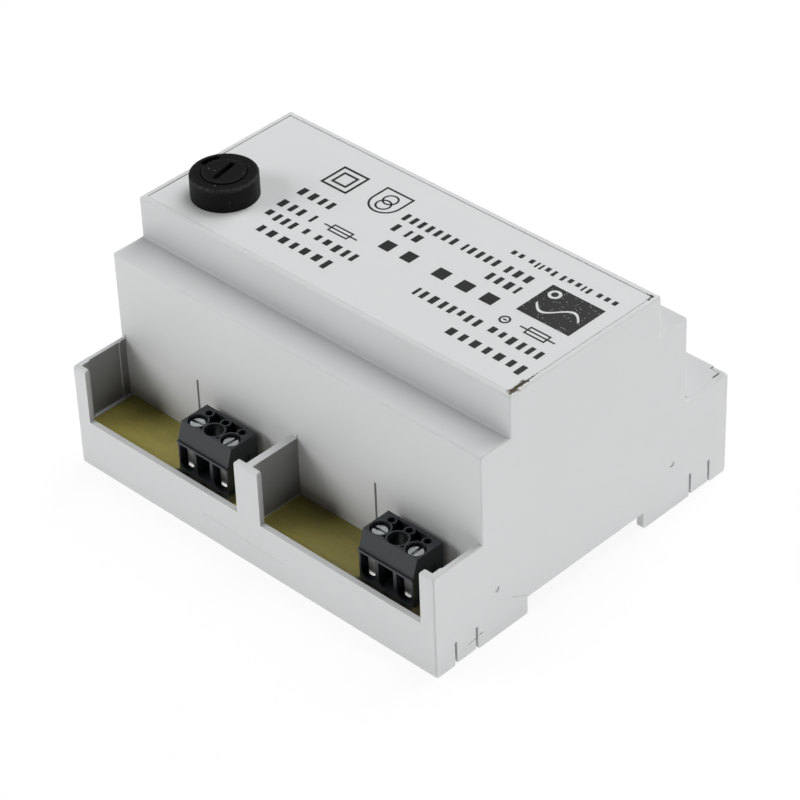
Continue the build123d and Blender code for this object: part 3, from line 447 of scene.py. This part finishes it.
symbols = (
    ("output_fuse", fuse_symbol(9.4, 2.6), (-11.6, -3.7)),
    ("input_fuse", fuse_symbol(9.2, 2.6), (43.0, -3.7)),
    ("input_ring", [ring(1.3), ring(0.85), bar(1.0, 0.4)], (34.7, -4.1)),
    ("arch_frame", [arch(8.0, 8.6), arch(8.0, 8.6, 0.5)], (-12.0, 10.6)),
    ("arch_ring", [ring(1.9, (0, -1.0)), ring(1.45, (0, -1.0))], (-12.0, 10.6)),
    ("arch_second_ring", [ring(1.9, (0, 1.2)), ring(1.45, (0, 1.2))], (-12.0, 10.6)),
    ("square_frame", [bar(7.6, 7.6), bar(6.4, 6.4), bar(4.4, 4.4), bar(3.2, 3.2)], (-24.6, 10.8)),
)
for name, outlines, place in symbols:
    on_plate(name, flat_mesh(name, outlines), place, ink)
field_ring = (4.4, -3.2)
field = [bar(14.0, 11.2), wave(11.0, 4.0, 0.7, (0, 1.0)), ring(1.5, field_ring, 24),
         ring(0.8, field_ring, 24)]
on_plate("dark_field", flat_mesh("dark_field", field), (40.9, 5.6), speckled_ink)


# Base and rail latches. They are moulded in a stiffer plastic: the base in grey, and the two sliders in
# a darker grey.
dress(moulded_plastic("base_moulding", (0.56, 0.565, 0.57), 0.55, speck_grey, 0.002), "base_plate")
dress(moulded_plastic("latch_moulding", (0.045, 0.048, 0.052), 0.42, tone_depth=0.12),
      "left_rail_latch", "right_rail_latch")


# Terminal board. It is a strip of paper laminate, olive brown, with a satin face in which the fibres of the
# paper show faintly. Painted shade darkens it in front of and beside the blocks, and in its right half.
def laminate(name, colour, dark, roughness, marks=(), right_share=1.0):
    """Laminate: fibres are noise stretched along X, over a slower cloudy tone, and darkened by painted shade
    beyond X = 0.
    """
    material, tree, shader, place = new_material(name)
    stretched = add_node(tree, "Mapping", Vector=place, Scale=(260.0, 1300.0, 900.0))
    fibres = add_node(tree, "TexNoise", Vector=stretched.outputs[0], Scale=1.0, Detail=5.0, Roughness=0.65)
    cloud = add_node(tree, "TexNoise", Vector=place, Scale=220.0, Detail=4.0, Roughness=0.6)
    mixed = maths(tree, "ADD", maths(tree, "MULTIPLY", fibres.outputs[0], 0.6),
                  maths(tree, "MULTIPLY", cloud.outputs[0], 0.5))
    spread = add_node(tree, "MapRange", Value=mixed, From_Min=0.35, From_Max=0.75)
    paint = blend_colour(tree, spread.outputs[0], (*dark, 1.0), (*colour, 1.0))
    # Painted shade: beyond X = 0 the paint is darkened towards black by 1 - right_share.
    parts = add_node(tree, "SeparateXYZ", Vector=place)
    right = add_node(tree, "MapRange", Value=parts.outputs["X"],
                     From_Min=0.0, From_Max=2.0 * mm, To_Max=1.0 - right_share)
    paint = blend_colour(tree, right.outputs[0], paint, (0.0, 0.0, 0.0, 1.0))
    tree.links.new(add_marks(tree, place, paint, marks), shader.inputs["Base Color"])
    rough = add_node(tree, "MapRange", Value=fibres.outputs[0],
                     To_Min=roughness - 0.1, To_Max=roughness + 0.1)
    tree.links.new(rough.outputs[0], shader.inputs["Roughness"])
    bump = add_node(tree, "Bump", Strength=0.3, Distance=0.02 * mm, Height=fibres.outputs[0])
    tree.links.new(bump.outputs[0], shader.inputs["Normal"])
    return material


deep_shade = (0.012, 0.012, 0.008)
side_shade = (0.07, 0.06, 0.02)
# Painted shade on the board: a dark band in front of each block and a darker strip beside its right end.
board_painted_shades = []
for block in ("left_terminal_block", "right_terminal_block"):
    block_low, block_high = (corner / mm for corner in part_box(block))
    front_y, side_x = block_low.y - 0.6, block_high.x + 0.8
    board_painted_shades.append((deep_shade, 1.9, 0.1, (block_low.x + 1.2, front_y, board_level),
                        (block_high.x + 1.0, front_y, board_level)))
    board_painted_shades.append((side_shade, 1.4, 0.1, (side_x, block_low.y, board_level),
                        (side_x, block_high.y, board_level)))
dress(laminate("board_laminate", (0.42, 0.37, 0.088), (0.32, 0.28, 0.062), 0.42, board_painted_shades, 0.72),
      "terminal_board")


# Core and its screws. The core is a stack of thin steel sheets under a thin brown varnish, and the plated
# screws hold it on the base.
def sheet_stack(name, sheet_thickness=0.5):
    """Stacked sheets: a sawtooth along Z, one step for each sheet, gives the lines and the bump."""
    material, tree, shader, place = new_material(name)
    parts = add_node(tree, "SeparateXYZ", Vector=place)
    step = maths(tree, "FRACT", maths(tree, "DIVIDE", parts.outputs["Z"], sheet_thickness * mm))
    gap = add_node(tree, "MapRange", {"interpolation_type": "SMOOTHSTEP"},
                   Value=maths(tree, "PINGPONG", step, 0.5), From_Min=0.0, From_Max=0.16)
    rust = add_node(tree, "TexNoise", Vector=place, Scale=180.0, Detail=6.0, Roughness=0.7)
    sheet = blend_colour(tree, rust.outputs[0], (0.10, 0.095, 0.09, 1.0), (0.26, 0.235, 0.20, 1.0))
    paint = blend_colour(tree, gap.outputs[0], (0.03, 0.025, 0.02, 1.0), sheet)
    tree.links.new(paint, shader.inputs["Base Color"])
    shader.inputs["Metallic"].default_value = 0.7
    rough = add_node(tree, "MapRange", Value=rust.outputs[0], To_Min=0.3, To_Max=0.6)
    tree.links.new(rough.outputs[0], shader.inputs["Roughness"])
    bump = add_node(tree, "Bump", Strength=0.6, Distance=0.08 * mm, Height=gap.outputs[0])
    tree.links.new(bump.outputs[0], shader.inputs["Normal"])
    return material


def plated_metal(name, colour, dull, roughness, brush=(400.0, 400.0, 400.0)):
    """Metal with a plated face: noise, stretched by the brush scales, changes its colour, gloss and bump."""
    material, tree, shader, place = new_material(name)
    scaled = add_node(tree, "Mapping", Vector=place, Scale=brush)
    noise = add_node(tree, "TexNoise", Vector=scaled.outputs[0], Scale=1.0, Detail=5.0, Roughness=0.65)
    spread = add_node(tree, "MapRange", Value=noise.outputs[0], From_Min=0.3, From_Max=0.7)
    paint = blend_colour(tree, spread.outputs[0], (*dull, 1.0), (*colour, 1.0))
    tree.links.new(paint, shader.inputs["Base Color"])
    shader.inputs["Metallic"].default_value = 1.0
    rough = add_node(tree, "MapRange", Value=noise.outputs[0],
                     To_Min=roughness + 0.12, To_Max=max(0.05, roughness - 0.1))
    tree.links.new(rough.outputs[0], shader.inputs["Roughness"])
    bump = add_node(tree, "Bump", Strength=0.25, Distance=0.01 * mm, Height=noise.outputs[0])
    tree.links.new(bump.outputs[0], shader.inputs["Normal"])
    return material


dress(sheet_stack("core_sheets"), "core_e_stack", "core_i_stack")
dress(plated_metal("zinc_plate", (0.60, 0.61, 0.62), (0.42, 0.43, 0.44), 0.34), "core_screws")


# Coil. The former is natural plastic. Both windings are enamelled copper wire in tight turns, with a wrap
# of yellow film between them, and insulated leads run from them to the board.
def wound_wire(name, wire, colour, dark):
    """Turns of wire: a sawtooth along Y, one wire wide, gives each turn its round bump and a painted shade in
    the gap between turns.
    """
    material, tree, shader, place = new_material(name)
    parts = add_node(tree, "SeparateXYZ", Vector=place)
    turn = maths(tree, "PINGPONG", maths(tree, "DIVIDE", parts.outputs["Y"], wire * mm), 0.5)
    crown = maths(tree, "SINE", maths(tree, "MULTIPLY", turn, math.pi))
    noise = add_node(tree, "TexNoise", Vector=place, Scale=300.0, Detail=4.0)
    shine = blend_colour(tree, noise.outputs[0], (*dark, 1.0), (*colour, 1.0))
    gap = add_node(tree, "MapRange", Value=crown, From_Min=0.1, From_Max=0.6)
    # Painted shade: the gap between turns is darkened nearly to black.
    paint = blend_colour(tree, gap.outputs[0], (0.05, 0.02, 0.01, 1.0), shine)
    tree.links.new(paint, shader.inputs["Base Color"])
    shader.inputs["Metallic"].default_value = 0.8
    rough = add_node(tree, "MapRange", Value=noise.outputs[0], To_Min=0.2, To_Max=0.4)
    tree.links.new(rough.outputs[0], shader.inputs["Roughness"])
    bump = add_node(tree, "Bump", Strength=0.8, Distance=wire * mm / 3, Height=crown)
    tree.links.new(bump.outputs[0], shader.inputs["Normal"])
    return material


dress(moulded_plastic("former_moulding", (0.62, 0.58, 0.48), 0.45, tone_depth=0.06), "coil_former")
dress(wound_wire("primary_wire", 0.25, (0.62, 0.20, 0.07), (0.42, 0.11, 0.04)), "primary_winding")
dress(wound_wire("secondary_wire", 0.8, (0.66, 0.24, 0.09), (0.45, 0.13, 0.05)), "secondary_winding")
dress(moulded_plastic("barrier_film", (0.60, 0.44, 0.06), 0.3, tone_depth=0.08), "winding_barrier")
dress(moulded_plastic("black_insulation", (0.018, 0.018, 0.02), 0.4, tone_depth=0.2),
      "primary_leads", "fuse_leads")
dress(moulded_plastic("red_insulation", (0.42, 0.02, 0.018), 0.4, tone_depth=0.15), "secondary_leads")


# Fuse holder. The body, its nut and the slotted carrier are moulded in black plastic, matt on the top of
# the collar, with pale dust specks on its side and a lighter worn rim.
fuse_low, fuse_high = (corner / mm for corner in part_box("fuse_holder_body"))


def black_moulding(name, colour, worn, roughness, rim_radius, rim_height):
    """Black plastic with dust specks and a rim that is worn paler near rim_radius from the holder's axis."""
    material, tree, shader, place = new_material(name)
    noise = add_group(tree, moulding, Vector=place, Grain_Scale=1800.0, Speck_Scale=1300.0,
                      Speck_Share=0.05)
    axis = Vector(((fuse_low.x + fuse_high.x) / 2 * mm, (fuse_low.y + fuse_high.y) / 2 * mm, 0))
    centred = add_node(tree, "Mapping", Vector=place, Location=-axis)
    parts = add_node(tree, "SeparateXYZ", Vector=centred.outputs[0])
    reach = maths(tree, "SQRT", maths(tree, "ADD", maths(tree, "POWER", parts.outputs["X"], 2.0),
                                      maths(tree, "POWER", parts.outputs["Y"], 2.0)))
    from_rim = maths(tree, "ABSOLUTE", maths(tree, "SUBTRACT", reach, rim_radius * mm))
    from_top = maths(tree, "ABSOLUTE", maths(tree, "SUBTRACT", parts.outputs["Z"], rim_height * mm))
    away = maths(tree, "ADD", from_rim, from_top)
    near = add_node(tree, "MapRange", {"interpolation_type": "SMOOTHSTEP"}, Value=away,
                    From_Min=0.9 * mm, From_Max=0.1 * mm)
    ragged = add_node(tree, "MapRange", Value=noise.outputs["Grain"], From_Min=0.35, From_Max=0.75)
    rub = maths(tree, "MULTIPLY", near.outputs[0], ragged.outputs[0])
    base = blend_colour(tree, noise.outputs["Tone"], tuple(c * 0.7 for c in colour) + (1.0,),
                        tuple(c * 1.3 for c in colour) + (1.0,))
    base = blend_colour(tree, rub, base, (*worn, 1.0))
    base = blend_colour(tree, noise.outputs["Specks"], base, (0.16, 0.16, 0.15, 1.0))
    tree.links.new(base, shader.inputs["Base Color"])
    shader.inputs["Specular IOR Level"].default_value = 0.12
    rough = add_node(tree, "MapRange", Value=noise.outputs["Grain"],
                     To_Min=roughness - 0.08, To_Max=roughness + 0.12)
    tree.links.new(rough.outputs[0], shader.inputs["Roughness"])
    bump = add_node(tree, "Bump", Strength=0.5, Distance=0.03 * mm, Height=noise.outputs["Grain"])
    tree.links.new(bump.outputs[0], shader.inputs["Normal"])
    return material


collar_reach = (fuse_high.x - fuse_low.x) / 2
holder_black = (0.005, 0.005, 0.0053)
dress(black_moulding("holder_moulding", holder_black, (0.05, 0.05, 0.05), 0.55, collar_reach, fuse_high.z),
      "fuse_holder_body", "fuse_holder_nut")
carrier_low, carrier_high = (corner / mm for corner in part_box("fuse_carrier"))
dress(black_moulding("carrier_moulding", (0.006, 0.006, 0.006), (0.02, 0.02, 0.02), 0.5,
                     (carrier_high.x - carrier_low.x) / 2, carrier_high.z), "fuse_carrier")


# Fuse and its contacts. A glass tube holds a thin wire between two nickel plated caps, and two tinned brass
# contacts press on the caps.
def clear_glass(name):
    """Clear glass with faint ripples: noise stretched along the tube moves its normal and its roughness."""
    material, tree, shader, place = new_material(name)
    stretched = add_node(tree, "Mapping", Vector=place, Scale=(900.0, 900.0, 120.0))
    ripple = add_node(tree, "TexNoise", Vector=stretched.outputs[0], Scale=1.0, Detail=2.0)
    tint = blend_colour(tree, ripple.outputs[0], (0.90, 0.95, 0.93, 1.0), (0.97, 0.99, 0.98, 1.0))
    tree.links.new(tint, shader.inputs["Base Color"])
    shader.inputs["Transmission Weight"].default_value = 1.0
    shader.inputs["IOR"].default_value = 1.5
    rough = add_node(tree, "MapRange", Value=ripple.outputs[0], To_Min=0.02, To_Max=0.08)
    tree.links.new(rough.outputs[0], shader.inputs["Roughness"])
    bump = add_node(tree, "Bump", Strength=0.1, Distance=0.01 * mm, Height=ripple.outputs[0])
    tree.links.new(bump.outputs[0], shader.inputs["Normal"])
    return material


dress(clear_glass("fuse_glass"), "fuse_glass_tube")
dress(plated_metal("nickel_plate", (0.70, 0.68, 0.64), (0.55, 0.53, 0.50), 0.22),
      "fuse_lower_cap", "fuse_upper_cap")
dress(plated_metal("fuse_wire_metal", (0.55, 0.55, 0.56), (0.40, 0.40, 0.41), 0.3), "fuse_wire")
dress(plated_metal("tinned_brass", (0.62, 0.56, 0.42), (0.48, 0.42, 0.30), 0.34),
      "fuse_lower_contact", "fuse_upper_contact")


# Terminal blocks. The blocks are anthracite plastic with a satin face. Each fitted place has a folded
# tinned clamp, a bright wire guard behind its mouth, and a plated slotted screw.
poles = (1, 2, 3, 4)
dress(moulded_plastic("terminal_moulding", (0.017, 0.022, 0.025), 0.34, tone_depth=0.15, grain_scale=1800.0,
                      grain_height=0.03), "left_terminal_block", "right_terminal_block")
dress(plated_metal("clamp_tin", (0.50, 0.48, 0.43), (0.33, 0.31, 0.27), 0.36),
      *(f"clamp_body_{pole}" for pole in poles))
dress(plated_metal("guard_plate", (0.42, 0.42, 0.42), (0.24, 0.24, 0.23), 0.45, (200.0, 900.0, 200.0)),
      *(f"wire_guard_{pole}" for pole in poles))
dress(plated_metal("screw_plate", (0.62, 0.64, 0.65), (0.36, 0.38, 0.39), 0.26, (700.0, 700.0, 700.0)),
      *(f"terminal_screw_{pole}" for pole in poles))


# Studio. A white table that glows evenly from below, as in the photo, and keeps the shadow of the object,
# under a white surround. The lamps stand overhead, behind, to the left in front and low at the right end.
def table_material():
    """Matt table with its own light. Camera, mirrors and glass see it white, with the shadow left in."""
    material = bpy.data.materials.new("studio_table")
    material.use_nodes = True
    tree = material.node_tree
    tree.nodes.remove(tree.nodes["Principled BSDF"])
    matt = add_node(tree, "BsdfDiffuse", Color=(0.86, 0.86, 0.86, 1.0))
    lit = add_node(tree, "Emission", Color=(1.0, 1.0, 1.0, 1.0), Strength=0.45)
    table = add_node(tree, "AddShader", i0=matt.outputs[0], i1=lit.outputs[0])
    white = add_node(tree, "Emission", Color=(1.0, 1.0, 1.0, 1.0), Strength=0.96)
    path = tree.nodes.new("ShaderNodeLightPath")
    seen = maths(tree, "ADD", path.outputs["Is Camera Ray"], path.outputs["Is Glossy Ray"])
    seen = maths(tree, "ADD", seen, path.outputs["Is Transmission Ray"], clamp=True)
    mixed = add_node(tree, "MixShader", i0=maths(tree, "MULTIPLY", seen, 0.85), i1=table.outputs[0],
                     i2=white.outputs[0])
    tree.links.new(mixed.outputs[0], tree.nodes["Material Output"].inputs["Surface"])
    return material


reach = 4.0
floor_mesh = bpy.data.meshes.new("floor")
floor_corners = [(-reach, -reach, 0), (reach, -reach, 0), (reach, reach, 0), (-reach, reach, 0)]
floor_mesh.from_pydata(floor_corners, [], [(0, 1, 2, 3)])
floor_mesh.materials.append(table_material())
floor = bpy.data.objects.new("floor", floor_mesh)
bpy.context.scene.collection.objects.link(floor)

world = bpy.data.worlds.new("surround")
bpy.context.scene.world = world
world.use_nodes = True
sky = world.node_tree
sky_glow = sky.nodes["Background"]
sky_path = sky.nodes.new("ShaderNodeLightPath")
ambient = 0.04
sky_seen = maths(sky, "ADD", sky_path.outputs["Is Camera Ray"], sky_path.outputs["Is Transmission Ray"],
                 clamp=True)
sky.links.new(maths(sky, "MAXIMUM", sky_seen, ambient), sky_glow.inputs["Strength"])
sky_glow.inputs["Color"].default_value = (1.0, 1.0, 1.0, 1.0)


def softbox(name, place, size, power):
    """Square area light at a place given in metres, aimed at the middle of the object."""
    light = bpy.data.lights.new(name, "AREA")
    light.shape = "SQUARE"
    light.size = size
    light.energy = power
    lamp = bpy.data.objects.new(name, light)
    lamp.location = place
    aim = Vector((0, 0, 0.03)) - Vector(place)
    lamp.rotation_euler = aim.to_track_quat("-Z", "Y").to_euler()
    bpy.context.scene.collection.objects.link(lamp)


softbox("top_light", (0.0, 0.5, 1.3), 0.9, 12.0)
softbox("back_light", (0.0, 1.2, 0.6), 0.9, 8.0)
softbox("left_light", (-0.9, -0.9, 0.7), 0.8, 11.5)
softbox("end_light", (1.45, 0.1, 0.28), 0.7, 6.4)

# Camera, at the angle and distance of the photograph. The angles and the lens were solved from the corners
# of the housing.
view_azimuth = 45.264
view_elevation = 37.073
view_roll = -2.242
eye = (0.39530, -0.39154, 0.43829)
lens = bpy.data.cameras.new("camera")
lens.sensor_width = 36.0
lens.lens = 147.74
lens.clip_start = 0.01
camera = bpy.data.objects.new("camera", lens)
turn = (Matrix.Rotation(math.radians(view_azimuth), 4, "Z")
        @ Matrix.Rotation(math.radians(90 - view_elevation), 4, "X")
        @ Matrix.Rotation(math.radians(view_roll), 4, "Z"))
camera.matrix_world = Matrix.Translation(eye) @ turn
bpy.context.scene.collection.objects.link(camera)
bpy.context.scene.camera = camera
bpy.context.scene.view_settings.view_transform = "Standard"
